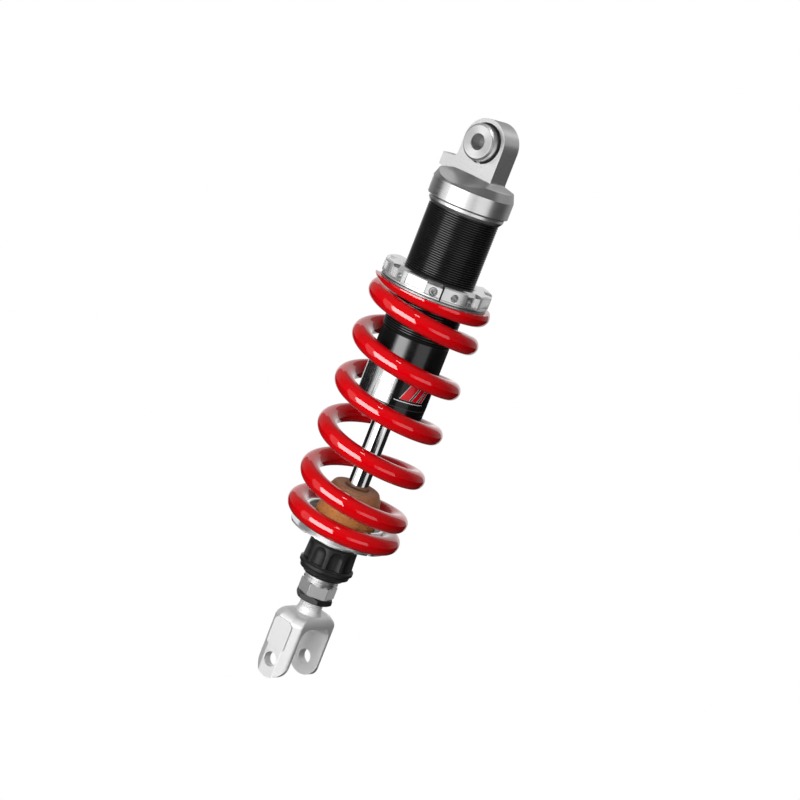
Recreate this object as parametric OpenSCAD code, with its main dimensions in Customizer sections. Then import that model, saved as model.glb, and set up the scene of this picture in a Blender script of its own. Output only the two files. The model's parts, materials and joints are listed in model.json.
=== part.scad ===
// Rear shock absorber for a motorcycle: single-tube damper with a coil spring round it,
// a spherical bearing at the top and a fork-shaped clevis at the bottom.
// Millimetres. The origin is the centre of the upper bolt. +Z is up, along the damper's
// axis, and both bolts lie along Y.

/* [Overall] */
// Distance between the centres of the two bolts
eye_to_eye = 369; // [368:1:372]
// Diameter of both bolt holes
bolt_d = 10.2; // [8.2:0.1:10.6]

/* [Upper mount] */
// Outside radius of the eye lug
lug_r = 16; // [15.5:0.1:17]
// Thickness of the eye lug
lug_t = 17; // [16:0.5:18]
// Width over the two collars, which the frame's bracket clamps
collar_span = 30.4; // [29:0.2:34]
// Diameter of a collar's flange
collar_d = 24; // [22:0.5:24.4]
// Outside diameter of the turned cap
cap_d = 55; // [54:0.5:58]

/* [Damper body] */
// Diameter over the body's thread
thread_d = 47.8; // [47.6:0.1:48]
// Diameter of the plain part of the body
body_d = 46.5; // [46:0.1:47]
// Inside diameter of the body
bore_d = 40; // [39:0.1:40.5]
// Diameter of the damper rod
rod_d = 14; // [13:0.5:14]

/* [Coil spring] */
// Outside diameter of the spring
spring_od = 81.2; // [80:0.2:84]
// Diameter of the spring's wire
wire_d = 12.8; // [11:0.1:13]
// Rise of one turn in the open part of the spring
spring_pitch = 32.2; // [31:0.1:33]

/* [Preload ring] */
// Diameter over the ring's lobes
ring_d = 74; // [72:0.5:76]
// Number of lobes round the ring
ring_lobes = 8; // [6:1:10]

/* [Clevis] */
// Gap between the clevis's cheeks
clevis_gap = 30; // [26:0.5:30]
// Width of a cheek
clevis_w = 25.2; // [24:0.2:26]

/* [Rebound knob] */
// Number of finger flutes round the knob
knob_flutes = 9; // [6:1:12]

/* [Hidden] */
$fn = 96;
eps = 0.01;
run_gap = 0.05;                 // radial clearance of a running fit
bolt_r = bolt_d / 2;

// Heights along the axis, measured from the upper bolt
lug_foot_z = -21;
cap_top_z = -30;
cap_groove_z = -41.4;
cap_end_z = -46;
tube_top_z = -36;
ring_top_z = -90.1;
ring_end_z = -100.4;
spring_top_z = -101.7;
thread_end_z = -132;
body_end_z = -190;
rod_top_z = -150;
spring_end_z = -274.8;
hub_end_z = -282.4;
knob_end_z = -306.4;
hex_top_z = -311.6;
hex_end_z = -320.5;
nut_end_z = -325;
clevis_z = -eye_to_eye;
stem_top_z = -303.4;

// Upper bearing
eye_bore_r = 13.3;
ball_r = 11;
ball_half = 6.5;
race_half = 5.8;
clip_t = 1.2;
shield_y = 8.1;
shield_t = 0.5;
flange_y = 8.9;

// Body
thread_r = thread_d / 2;
body_r = body_d / 2;
bore_r = bore_d / 2;
rod_r = rod_d / 2;
label_t = 0.15;

// Spring
wire_r = wire_d / 2;
coil_r = (spring_od - wire_d) / 2;
spring_turns = 6.85;
start_angle = 214.5;            // where the wire's upper tip lies
wire_sides = 12;
rings_per_turn = 28;

// Clevis
cheek_t = 6.5;
clevis_t = clevis_gap + 2 * cheek_t;
pad_t = 0.8;
stem_r = 8;

// A cylinder along Y, centred on the upper bolt
module y_cyl(r, len, y = 0) { translate([0, y, 0]) rotate([90, 0, 0]) cylinder(r = r, h = len, center = true); }
// A plain ring between two heights
module band(r_out, r_in, z_low, z_high) {
    translate([0, 0, z_low]) difference() {
        cylinder(r = r_out, h = z_high - z_low);
        translate([0, 0, -1]) cylinder(r = r_in, h = z_high - z_low + 2);
    }
}
// A round seal ring
module o_ring(r_mid, r_cord, z) { translate([0, 0, z]) rotate_extrude() translate([r_mid, 0]) circle(r = r_cord, $fn = 24); }
// A ring turned about Y, from its half profile of [radius, distance along Y]
module turned_y(points) { rotate([-90, 0, 0]) rotate_extrude() polygon(points); }

// ---- upper bearing ----
// Points along a ball's outline from one flat face to the other, half the ball's width each way
function ball_arc(r, half) = let(a = asin(half / r)) [for (i = [-8:8]) [r * cos(a * i / 8), r * sin(a * i / 8)]];
module bearing_ball() color("#b9bbbd")
    turned_y(concat([[bolt_r, -ball_half]], ball_arc(ball_r, ball_half), [[bolt_r, ball_half]]));
module collar() color("#d4d5d6") turned_y([[bolt_r, ball_half], [8.7, ball_half], [8.7, flange_y],
    [collar_d / 2, flange_y], [collar_d / 2, collar_span / 2 - 1.6],
    [collar_d / 2 - 1.6, collar_span / 2], [bolt_r, collar_span / 2]]);
module collar_rear() collar();
module collar_front() mirror([0, 1, 0]) collar();
module bearing_shields() color("#2b2b2d") for (side = [0, 1]) mirror([0, side, 0])
    turned_y([[9, shield_y], [12.4, shield_y], [12.4, shield_y + shield_t], [9, shield_y + shield_t]]);
module bearing_race() color("#8f9193")
    turned_y(concat([[eye_bore_r, -race_half]], ball_arc(ball_r + run_gap, race_half), [[eye_bore_r, race_half]]));
module bearing_clips() color("#3a3a3c") for (side = [0, 1]) mirror([0, side, 0]) difference() {
    y_cyl(13.9, clip_t, race_half + clip_t / 2);
    y_cyl(12, 3 * clip_t, race_half + clip_t / 2);
    translate([-2, race_half - 1, -16]) cube([4, 4, 10]);
}

// ---- top mount ----
shoulder_r = 28.3;
cap_r = cap_d / 2;
module milled_slope()
    translate([-40, -lug_t / 2, -20.8]) rotate([22.7, 0, 0]) translate([0, -30, 0]) cube([80, 30, 20]);
module top_mount() color("#cfcecb") difference() {
    union() {
        y_cyl(lug_r, lug_t);
        translate([-lug_r, -lug_t / 2, lug_foot_z - 4]) cube([2 * lug_r, lug_t, -lug_foot_z + 4]);
        difference() {
            rotate_extrude() polygon([[0, lug_foot_z], [17, lug_foot_z - 0.5], [25.3, -24],
                [cap_r - 0.4, cap_top_z + 0.6], [cap_r, cap_top_z], [cap_r, cap_groove_z + 0.4],
                [cap_r - 0.8, cap_groove_z], [cap_r - 1.8, cap_groove_z - 0.6], [cap_r - 1.8, cap_end_z + 2],
                [thread_r + 0.6, cap_end_z], [0, cap_end_z]]);
            milled_slope();
            mirror([0, 1, 0]) milled_slope();
        }
        // Shoulder that holds the gas valve
        intersection() {
            translate([0, 0, -23.4]) cylinder(r = shoulder_r, h = 12);
            translate([0, lug_t / 2, 0]) rotate([90, 0, 0]) linear_extrude(lug_t)
                polygon([[-30, -23.4], [-30, -17], [-18.6, -14.8], [-16.6, -13.8], [-lug_r, -11.6],
                    [-10, -11.6], [-10, -23.4]]);
        }
        // Foot of the lug on the plain side
        translate([0, lug_t / 2, 0]) rotate([90, 0, 0]) linear_extrude(lug_t) difference() {
            polygon([[lug_r - 1, -24], [lug_r + 2.6, -24], [lug_r + 2.6, -20.2], [lug_r - 1, -20.2]]);
            translate([lug_r + 2.6, -20.2]) circle(r = 2.6);
        }
    }
    y_cyl(eye_bore_r, 40);
    for (side = [0, 1]) mirror([0, side, 0]) y_cyl(13.9, clip_t, race_half + clip_t / 2);
    translate([0, 0, cap_end_z - 1]) cylinder(r = thread_r, h = tube_top_z - cap_end_z + 1);
    translate([0, 0, cap_end_z - 1]) cylinder(r = bore_r, h = tube_top_z - cap_end_z + 3.1);
    translate([-12, 0, tube_top_z]) cylinder(r = 1.5, h = 18, $fn = 32);
    translate([-30, 0, -19.4]) rotate([0, 90, 0]) cylinder(r = 3, h = 20, $fn = 48);
    translate([-30, 0, -19.4]) rotate([0, 90, 0]) cylinder(r = 3.6, h = 6, $fn = 48);
}
module gas_valve() color("#b08d4a") translate([-21, 0, -19.4]) rotate([0, 90, 0]) difference() {
    cylinder(r = 3, h = 8, $fn = 48);
    translate([0, 0, -1]) cylinder(r = 1, h = 10, $fn = 32);
}
module valve_plug() color("#303234") translate([-28, 0, -19.4]) rotate([0, 90, 0]) difference() {
    cylinder(r = 3.6, h = 4, $fn = 48);
    translate([0, 0, -1]) cylinder(r = 2.3, h = 3, $fn = 6);
}
module cap_seal() color("#1c1c1c") o_ring(bore_r - 1, 1, tube_top_z + 1);

// ---- damper body and what is fixed in it ----
runout_grooves = [for (i = [0:5]) thread_end_z + 1 + 2 * i];
module damper_body() color("#19191b") difference() {
    rotate_extrude() polygon([[bore_r, tube_top_z], [thread_r, tube_top_z], [thread_r, thread_end_z],
        [body_r, thread_end_z - 0.8], [body_r, body_end_z + 1.2], [body_r - 1.2, body_end_z],
        [bore_r + 0.6, body_end_z], [bore_r, body_end_z + 0.6]]);
    for (z = runout_grooves) band(thread_r + 1, thread_r - 0.5, z, z + 0.5);
    for (z = [body_end_z + 3, body_end_z + 5.4, body_end_z + 7.8]) band(body_r + 1, body_r - 0.4, z, z + 0.7);
    band(bore_r + 1, bore_r - 1, body_end_z + 3, body_end_z + 4.4);
}
module body_label() color("#a6a8ab") band(body_r + label_t, body_r, -177, -151);
module seal_head() color("#b4b5b7") difference() {
    rotate_extrude() polygon([[rod_r + 1.6, body_end_z + 4.4], [bore_r, body_end_z + 4.4], [bore_r, body_end_z + 20],
        [rod_r + 3, body_end_z + 22], [rod_r + 1.6, body_end_z + 22]]);
    band(bore_r + 1, bore_r - 2, body_end_z + 11, body_end_z + 13.4);
    band(rod_r + 4, rod_r + 1, body_end_z + 3, body_end_z + 11);
}
module head_clip() color("#46474a") difference() {
    band(bore_r + 1, bore_r - 1.4, body_end_z + 3, body_end_z + 4.4);
    translate([-3, 0, body_end_z]) cube([6, 30, 8]);
}
module head_seal() color("#1c1c1c") o_ring(bore_r - 1, 1, body_end_z + 12.2);
module rod_bush() color("#8b6a3d") band(rod_r + 1.6, rod_r + run_gap, body_end_z + 11.2, body_end_z + 21.8);
module rod_seal() color("#5b2f24") band(rod_r + 4, rod_r + run_gap, body_end_z + 7.6, body_end_z + 11);
module rod_wiper() color("#1c1c1c") rotate_extrude() polygon([[rod_r + run_gap, body_end_z + 1.6], [rod_r + 0.8, body_end_z + 1.2],
    [rod_r + 4, body_end_z + 4], [rod_r + 4, body_end_z + 7.4], [rod_r + run_gap, body_end_z + 7.4]]);

// ---- floating piston ----
gas_piston_z = -82;
module gas_piston() color("#b9babc") difference() {
    translate([0, 0, gas_piston_z]) cylinder(r = bore_r - run_gap, h = 15);
    translate([0, 0, gas_piston_z + 5]) cylinder(r = bore_r - 6, h = 15);
    band(bore_r + 1, bore_r - 2.1, gas_piston_z + 6, gas_piston_z + 8.4);
}
module gas_piston_seal() color("#1c1c1c") o_ring(bore_r - run_gap - 1, 1, gas_piston_z + 7.2);

// ---- spring seat and preload ring ----
pilot_r = 27.4;
module spring_seat_top() color("#c6c8ca") rotate_extrude() polygon([[thread_r + 0.4, spring_top_z - 6],
    [thread_r + 1.6, spring_top_z - 7], [pilot_r - 0.6, spring_top_z - 7], [pilot_r, spring_top_z - 6],
    [pilot_r, spring_top_z], [36.2, spring_top_z], [36.2, spring_top_z + 0.4], [thread_r + 0.4, spring_top_z + 0.4]]);
module thrust_cage() color("#77797c") band(35.6, 26, spring_top_z + 0.4, spring_top_z + 0.7);
module thrust_washer() color("#d0d2d4") band(36.2, thread_r + 0.4, spring_top_z + 0.7, spring_top_z + 1);
lobe_step = 360 / ring_lobes;
ring_turn = -55.5;              // direction of the screw's facet
flat_r = 33.8;
ring_mid_z = (ring_top_z + ring_end_z) / 2;
module ring_pocket() translate([35.4, -6.2, ring_end_z + 2.6]) cube([10, 12.4, 6.2]);
// Cutter for one flat: a step down to the flange, with its top edge sloped away
module ring_notch() rotate([90, 0, 0]) linear_extrude(11.4, center = true) polygon([[flat_r, ring_end_z + 1.4],
    [flat_r + 10, ring_end_z + 1.4], [flat_r + 10, ring_top_z + 5], [flat_r - 3.6, ring_top_z + 5],
    [flat_r - 3.6, ring_top_z], [flat_r, ring_top_z - 2.3]]);
module preload_ring() color("#c9cacc") rotate([0, 0, ring_turn]) difference() {
    rotate_extrude() polygon([[thread_r + run_gap, ring_end_z], [35.6, ring_end_z], [36.2, ring_end_z + 0.6],
        [36.2, ring_end_z + 1.4], [ring_d / 2, ring_end_z + 1.8], [ring_d / 2, ring_top_z - 0.8],
        [ring_d / 2 - 1.2, ring_top_z], [thread_r + 1.4, ring_top_z], [thread_r + run_gap, ring_top_z - 1.2]]);
    for (i = [0:ring_lobes - 1]) rotate([0, 0, i * lobe_step]) {
        ring_notch();
        translate([flat_r - 3, 0, ring_mid_z - 0.9]) rotate([0, 90, 0]) cylinder(r = 2.1, h = 10, $fn = 32);
    }
    for (i = [1:ring_lobes - 1]) rotate([0, 0, (i + 0.5) * lobe_step]) ring_pocket();
    // Spanner hole beside the split, and the split itself
    rotate([0, 0, lobe_step / 2]) translate([28, 0, ring_mid_z]) rotate([0, 90, 0]) cylinder(r = 2.5, h = 12, $fn = 48);
    rotate([0, 0, 9.1]) translate([thread_r - 1, -0.4, ring_end_z - 1]) cube([20, 0.8, 20]);
    // Pocket of the lock screw
    translate([27.8, 0, ring_mid_z - 0.9]) rotate([0, 90, 0]) cylinder(r = 2.9, h = 10, $fn = 48);
}
module ring_screw() color("#8d9093")
    rotate([0, 0, ring_turn]) translate([27.8, 0, ring_mid_z - 0.9]) rotate([0, 90, 0]) difference() {
        union() {
            cylinder(r = 2.9, h = 4.6, $fn = 48);
            translate([0, 0, 4.6]) cylinder(r1 = 2.9, r2 = 2.3, h = 0.8, $fn = 48);
        }
        translate([0, 0, 3]) cylinder(r = 1.4, h = 4, $fn = 6);
    }

// ---- coil spring ----
// Slope of the wire's centre line, in mm of fall per turn, at turn u
function smooth(x) = let(c = min(max(x, 0), 1)) c * c * (3 - 2 * c);
function fall(u) = wire_d + (spring_pitch - wire_d) * (smooth((u - 0.91) / 0.4) - smooth((u - 5.35) / 0.5));
// Fall from the tip to turn u, added up in small steps
coil_steps = round(spring_turns * rings_per_turn);
step_turn = spring_turns / coil_steps;
function running(i, sum = 0, out = []) = i > coil_steps ? out
    : running(i + 1, sum + fall((i + 0.5) * step_turn) * step_turn, concat(out, [sum]));
falls = running(0);
tip_rise = 2.6;                 // how far the wire's centre stands above the ground face at the upper tip
function coil_point(i, j) = let(a = start_angle + 360 * i * step_turn, b = 360 * j / wire_sides,
    r = coil_r + wire_r * cos(b), z = spring_top_z + tip_rise - falls[i] + wire_r * sin(b))
    [r * cos(a), r * sin(a), min(max(z, spring_end_z), spring_top_z)];
module coil_spring() color("#c40a12") polyhedron(
    points = [for (i = [0:coil_steps]) for (j = [0:wire_sides - 1]) coil_point(i, j)],
    faces = concat([[for (j = [wire_sides - 1:-1:0]) j]],
        [for (i = [0:coil_steps - 1]) for (j = [0:wire_sides - 1])
            let(k = (j + 1) % wire_sides, p = i * wire_sides, q = p + wire_sides) [p + j, p + k, q + k, q + j]],
        [[for (j = [0:wire_sides - 1]) coil_steps * wire_sides + j]]));

// ---- rod and what it carries ----
needle_r = 1.95;
rod_end_z = -294;
module damper_rod() color("#d9dbde") difference() {
    union() {
        translate([0, 0, rod_end_z]) cylinder(r = rod_r, h = rod_top_z - 10 - rod_end_z);
        translate([0, 0, rod_top_z - 10]) cylinder(r = 5, h = 30);
    }
    translate([0, 0, rod_end_z - 1]) cylinder(r = needle_r + run_gap, h = rod_top_z + 8 - rod_end_z, $fn = 32);
    translate([0, 0, rod_top_z + 6]) cylinder(r = 1.4, h = 20, $fn = 32);
    translate([-8, 0, rod_top_z - 12]) rotate([0, 90, 0]) cylinder(r = 1, h = 16, $fn = 24);
}
module main_piston() color("#b9babc") difference() {
    rotate_extrude() polygon([[5, rod_top_z - 8], [10, rod_top_z - 8], [12, rod_top_z - 6], [bore_r - 0.6, rod_top_z - 6],
        [bore_r - 0.6, rod_top_z - 4], [bore_r - 1.6, rod_top_z - 4], [bore_r - 1.6, rod_top_z + 6], [bore_r - 0.6, rod_top_z + 6],
        [bore_r - 0.6, rod_top_z + 8], [12, rod_top_z + 8], [10, rod_top_z + 9], [5, rod_top_z + 9]]);
    for (i = [0:5]) rotate([0, 0, 60 * i]) translate([14.4, 0, rod_top_z - 10]) cylinder(r = 2, h = 24, $fn = 32);
}
module piston_band() color("#6b3f2a") band(bore_r - run_gap, bore_r - 1.6, rod_top_z - 4, rod_top_z + 6);
module shim_stack(z, dir) for (i = [0:4]) translate([0, 0, z + dir * (i + 0.5) * 0.4]) difference() {
    cylinder(r = 16 - 1.4 * i, h = 0.4, center = true);
    cylinder(r = 5, h = 2, center = true);
}
module compression_shims() color("#9a9da1") shim_stack(rod_top_z + 9, 1);
module rebound_shims() color("#9a9da1") shim_stack(rod_top_z - 8, -1);
module piston_nut() color("#4b4d50") difference() {
    translate([0, 0, rod_top_z + 11]) cylinder(r = 9, h = 8, $fn = 6);
    translate([0, 0, rod_top_z + 10]) cylinder(r = 5, h = 10);
}
module top_out_bumper() color("#2a2a2c") band(rod_r + 3.4, rod_r, body_end_z + 22.3, rod_top_z - 14);
module bump_washer() color("#b4b5b7") band(22, rod_r, -271.6, -270.2);
module bump_stop() color("#a5683a") rotate_extrude() difference() {
    polygon([[rod_r, -270.2], [19.6, -270.2], [21.2, -268.4], [21.2, -262.4], [19.4, -259.8], [18.2, -258.4], [18.8, -256.6],
        [19.1, -250], [18.4, -246.6], [15.9, -241.8], [15.2, -241.4], [rod_r + 2, -241.4], [rod_r, -243.4]]);
}
slit_angle = -11.5;
hub_top_z = -277;
module spring_seat_lower() color("#c2c4c6") difference() {
    rotate_extrude() polygon([[rod_r + run_gap, hub_top_z], [10, hub_top_z], [16.4, hub_top_z - 1],
        [22, hub_top_z - 0.4], [31, hub_top_z + 0.5], [33.4, hub_top_z + 0.7], [34, hub_top_z + 1], [34, spring_end_z],
        [pilot_r, spring_end_z], [pilot_r, -263.4], [pilot_r - 0.5, -262.8], [25.8, -262.8], [25.3, -263.4],
        [25.3, -270], [23, -271.6], [rod_r + run_gap, -271.6]]);
    rotate([0, 0, slit_angle]) translate([rod_r + 8, -1.5, -290]) cube([30, 3, 40]);
    for (a = [35:50:335]) rotate([0, 0, slit_angle + a]) translate([31.6, -4, hub_top_z - 13]) cube([10, 8, 14.5]);
}
module seat_hub() color("#b4b5b7") difference() {
    rotate_extrude() polygon([[rod_r + 2, hub_end_z], [16.4, hub_end_z], [16.8, hub_end_z + 0.6],
        [16.8, hub_top_z - 1.8], [16.4, hub_top_z - 1], [10, hub_top_z], [rod_r, hub_top_z],
        [rod_r, hub_top_z - 1.6], [rod_r + 2, hub_top_z - 1.6]]);
    for (i = [0:5]) rotate([0, 0, 60 * i + 20]) translate([15.2, -2, hub_end_z - 1]) cube([6, 4, 3]);
}
journal_r = 12;
hex_turn = 40.7;
module rod_end() color("#b9babc") difference() {
    union() {
        translate([0, 0, hex_top_z]) cylinder(r = journal_r, h = hub_end_z - hex_top_z);
        translate([0, 0, hex_top_z - 0.01]) cylinder(r = rod_r + 2, h = hub_top_z - 1.6 - hex_top_z);
        intersection() {
            translate([0, 0, hex_end_z]) rotate([0, 0, hex_turn]) cylinder(r = 12.7, h = hex_top_z - hex_end_z, $fn = 6);
            translate([0, 0, hex_end_z]) cylinder(r1 = 12, r2 = 12.6, h = 0.7);
        }
        intersection() {
            translate([0, 0, hex_end_z + 0.7]) rotate([0, 0, hex_turn])
                cylinder(r = 12.7, h = hex_top_z - hex_end_z - 0.7, $fn = 6);
            translate([0, 0, hex_end_z + 0.7]) cylinder(r = 12.6, h = 20);
        }
    }
    translate([0, 0, rod_end_z]) cylinder(r = rod_r, h = 30);
    translate([0, 0, -303]) cylinder(r = needle_r + run_gap, h = 20, $fn = 32);
    translate([0, 0, hex_end_z - 1]) cylinder(r = stem_r + run_gap, h = stem_top_z - hex_end_z + 1.4);
    // Slot for the cross pin
    translate([-14, -1.6, -300.6]) cube([28, 3.2, 5.6]);
    band(journal_r + 1, journal_r - 0.6, hex_top_z + 2.6, hex_top_z + 3.3);
    // Detent pockets
    for (s = [0, 1]) rotate([0, 0, 90 + 180 * s]) translate([9.2, 0, -289]) rotate([0, 90, 0]) cylinder(r = 1.3, h = 5, $fn = 32);
}
module detent_balls() color("#c9cbce")
    for (s = [0, 1]) rotate([0, 0, 90 + 180 * s]) translate([10.8, 0, -289]) sphere(r = 1.18, $fn = 32);
module jam_nut() color("#232426") difference() {
    intersection() {
        translate([0, 0, nut_end_z]) rotate([0, 0, 20]) cylinder(r = 13.3, h = hex_end_z - nut_end_z, $fn = 6);
        rotate_extrude() polygon([[0, nut_end_z], [11.6, nut_end_z], [12.9, nut_end_z + 1.2],
            [12.9, hex_end_z - 1.2], [11.6, hex_end_z], [0, hex_end_z]]);
    }
    translate([0, 0, nut_end_z - 1]) cylinder(r = stem_r + run_gap, h = 10);
}

// ---- rebound adjuster ----
knob_top_z = hub_end_z - 0.3;
module rebound_knob() color("#202022") difference() {
    rotate_extrude() polygon([[journal_r + run_gap, knob_top_z], [15.6, knob_top_z], [16.6, knob_top_z - 1.2],
        [17.4, -297.6], [18.7, -298.6], [18.7, -300.4], [17.2, -301], [16.8, -301.6], [17.4, -302.2], [17.2, -303.8],
        [15.4, -304.8], [14.6, -305.2], [14, knob_end_z], [journal_r + run_gap, knob_end_z]]);
    for (i = [0:knob_flutes - 1]) rotate([0, 0, (i + 0.5) * 360 / knob_flutes - 59]) translate([22, 0, -297.4]) {
        cylinder(r = 7.2, h = 8.4, $fn = 48);
        translate([0, 0, 8.4]) sphere(r = 7.2, $fn = 48);
    }
    band(journal_r + 2.2, journal_r - 1, -301, -294.6);
    band(journal_r + 0.6, journal_r - 1, -290.4, -287.6);
}
module rebound_needle() color("#a9abae") union() {
    translate([0, 0, -301.4]) cylinder(r = needle_r, h = 301.4 + rod_top_z + 2, $fn = 32);
    translate([0, 0, rod_top_z + 2]) cylinder(r1 = needle_r, r2 = 0.6, h = 5, $fn = 32);
}
module cross_pin() color("#8d9093") difference() {
    translate([0, 0, -297.8]) rotate([0, 90, 0]) cylinder(r = 1.5, h = 26, center = true, $fn = 32);
    translate([0, 0, -301]) cylinder(r = needle_r, h = 6, $fn = 32);
}

// ---- clevis ----
fork_top = 34.8;                // above the lower bolt
fork_roof = 27.4;
shoulder_round = 7;             // seen along X
top_round = 5;                  // seen along Y
module cheek_outline() {
    circle(r = clevis_w / 2);
    translate([-clevis_w / 2, 0]) square([clevis_w, fork_top - top_round]);
    translate([top_round - clevis_w / 2, 0]) square([clevis_w - 2 * top_round, fork_top]);
    for (s = [-1, 1]) translate([s * (clevis_w / 2 - top_round), fork_top - top_round]) circle(r = top_round);
}
// The fork seen along X, for a given width over its cheeks
module fork_side(width) difference() {
    translate([-width / 2, -30]) square([width, 30 + fork_top]);
    translate([-clevis_gap / 2, -31]) square([clevis_gap, 31 + fork_roof - 8]);
    for (s = [-1, 1]) translate([s * (clevis_gap / 2 - 8), fork_roof - 8]) circle(r = 8);
    translate([8 - clevis_gap / 2, 0]) square([clevis_gap - 16, fork_roof]);
    for (s = [-1, 1]) translate([s * width / 2, fork_top]) scale([s, 1]) difference() {
        translate([-shoulder_round, -shoulder_round]) square(2 * shoulder_round);
        translate([-shoulder_round, -shoulder_round]) circle(r = shoulder_round);
    }
}
module fork_body(width) rotate([90, 0, 90]) linear_extrude(clevis_w + 4, center = true) fork_side(width);
face_half = 6.2;                // half the width of a cheek's flat outer face
edge_half = clevis_w / 2 + 0.1;
bevel_depth = 3.9;              // how far the bevels beside that face fall back
module clevis() color("#c3c4c5") translate([0, 0, clevis_z]) difference() {
    union() {
        intersection() {
            rotate([90, 0, 0]) linear_extrude(clevis_t + 10, center = true) cheek_outline();
            fork_body(clevis_t);
            linear_extrude(120, center = true) let(y = clevis_t / 2, b = clevis_t / 2 - bevel_depth)
                polygon([[face_half, -y], [edge_half, -b], [edge_half, b], [face_half, y],
                    [-face_half, y], [-edge_half, b], [-edge_half, -b], [-face_half, -y]]);
        }
        // Machined pads on the cheeks
        intersection() {
            fork_body(clevis_t + 2 * pad_t);
            for (s = [0, 1]) mirror([0, s, 0]) translate([-7.6, clevis_t / 2 - 2.6, 9.6]) cube([15.2, 4, 19.8]);
        }
        rotate_extrude() polygon([[0, fork_top - 4], [12, fork_top - 0.4], [10.4, fork_top + 0.6],
            [9, fork_top + 2], [stem_r, fork_top + 4],
            [stem_r, stem_top_z - clevis_z - 1], [stem_r - 1, stem_top_z - clevis_z], [0, stem_top_z - clevis_z]]);
    }
    rotate([90, 0, 0]) cylinder(r = bolt_r, h = 80, center = true);
}

bearing_ball();
collar_front();
collar_rear();
bearing_shields();
top_mount();
bearing_race();
bearing_clips();
gas_valve();
valve_plug();
cap_seal();
damper_body();
body_label();
seal_head();
head_clip();
head_seal();
rod_bush();
rod_seal();
rod_wiper();
gas_piston();
gas_piston_seal();
spring_seat_top();
thrust_cage();
thrust_washer();
preload_ring();
ring_screw();
coil_spring();
damper_rod();
main_piston();
piston_band();
compression_shims();
rebound_shims();
piston_nut();
top_out_bumper();
bump_stop();
bump_washer();
spring_seat_lower();
seat_hub();
rod_end();
detent_balls();
jam_nut();
rebound_knob();
rebound_needle();
cross_pin();
clevis();
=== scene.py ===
import json
from math import atan2, cos, hypot, pi, radians, sin, tan

import bmesh
import bpy
import numpy as np
from mathutils import Matrix, Vector


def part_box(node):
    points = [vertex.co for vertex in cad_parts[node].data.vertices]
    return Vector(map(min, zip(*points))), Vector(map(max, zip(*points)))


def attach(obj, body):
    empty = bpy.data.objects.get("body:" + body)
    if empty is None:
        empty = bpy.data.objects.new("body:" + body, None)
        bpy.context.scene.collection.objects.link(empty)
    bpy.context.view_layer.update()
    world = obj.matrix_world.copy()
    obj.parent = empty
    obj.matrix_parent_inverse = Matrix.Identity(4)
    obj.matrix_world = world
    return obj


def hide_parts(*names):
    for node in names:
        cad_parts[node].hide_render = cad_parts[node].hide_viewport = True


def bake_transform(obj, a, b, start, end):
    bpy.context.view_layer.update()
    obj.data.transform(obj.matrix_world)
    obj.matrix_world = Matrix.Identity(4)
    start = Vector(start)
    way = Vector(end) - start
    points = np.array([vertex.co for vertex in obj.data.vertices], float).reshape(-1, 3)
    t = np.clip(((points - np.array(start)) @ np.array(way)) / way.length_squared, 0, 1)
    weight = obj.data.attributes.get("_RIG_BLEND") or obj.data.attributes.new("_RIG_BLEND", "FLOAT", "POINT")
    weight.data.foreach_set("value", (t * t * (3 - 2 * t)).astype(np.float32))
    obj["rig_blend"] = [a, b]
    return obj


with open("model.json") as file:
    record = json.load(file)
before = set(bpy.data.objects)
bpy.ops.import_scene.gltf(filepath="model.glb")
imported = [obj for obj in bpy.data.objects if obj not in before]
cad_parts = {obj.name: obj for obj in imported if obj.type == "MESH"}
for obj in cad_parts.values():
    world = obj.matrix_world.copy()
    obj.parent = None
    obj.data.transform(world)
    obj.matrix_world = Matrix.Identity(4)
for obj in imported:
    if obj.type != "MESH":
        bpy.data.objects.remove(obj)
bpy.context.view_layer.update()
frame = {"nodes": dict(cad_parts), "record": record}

MM = 0.001

# Pieces are modelled in millimetres in the shared frame, whose origin is the centre of the upper
# bolt with +Z up the damper's axis and both bolts along Y, and are scaled to metres at the end.
# Heights and radii come from the boxes of the CAD nodes.


def low(node):
    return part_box(node)[0].z / MM


def high(node):
    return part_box(node)[1].z / MM


def reach(node):
    """Largest distance of a node from the Z axis, taken along X."""
    return max(-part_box(node)[0].x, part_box(node)[1].x) / MM


BOLT_R = 5.1
ROD_R = reach("damper_rod")
THREAD_R = reach("damper_body")
THREAD_END = -132.0
BODY_R = THREAD_R - 0.65
BORE_R = THREAD_R - 3.9
SCREW_ANGLE = -55.5          # the preload ring's lock screw points this way
RUN_GAP = 0.05               # radial clearance of a running fit


# ---- camera, lights and floor ----

CAMERA_AZIMUTH = 34.5
CAMERA_ELEVATION = 12.2
CAMERA_ROLL = 21.43
CAMERA_DISTANCE = 1.375
LENS = 94.5
AIM_HEIGHT = -0.1763
AIM_SIDE = 0.0054
LIT_CENTRE = Vector((0, 0, -0.18))
FLOOR_Z = -1.1
FLOOR_HALF = 6


def direction(azimuth, elevation):
    """Unit vector toward a place seen from the object; azimuth 0 is -Y and 90 is +X."""
    a, e = radians(azimuth), radians(elevation)
    return Vector((sin(a) * cos(e), -cos(a) * cos(e), sin(e)))


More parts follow.
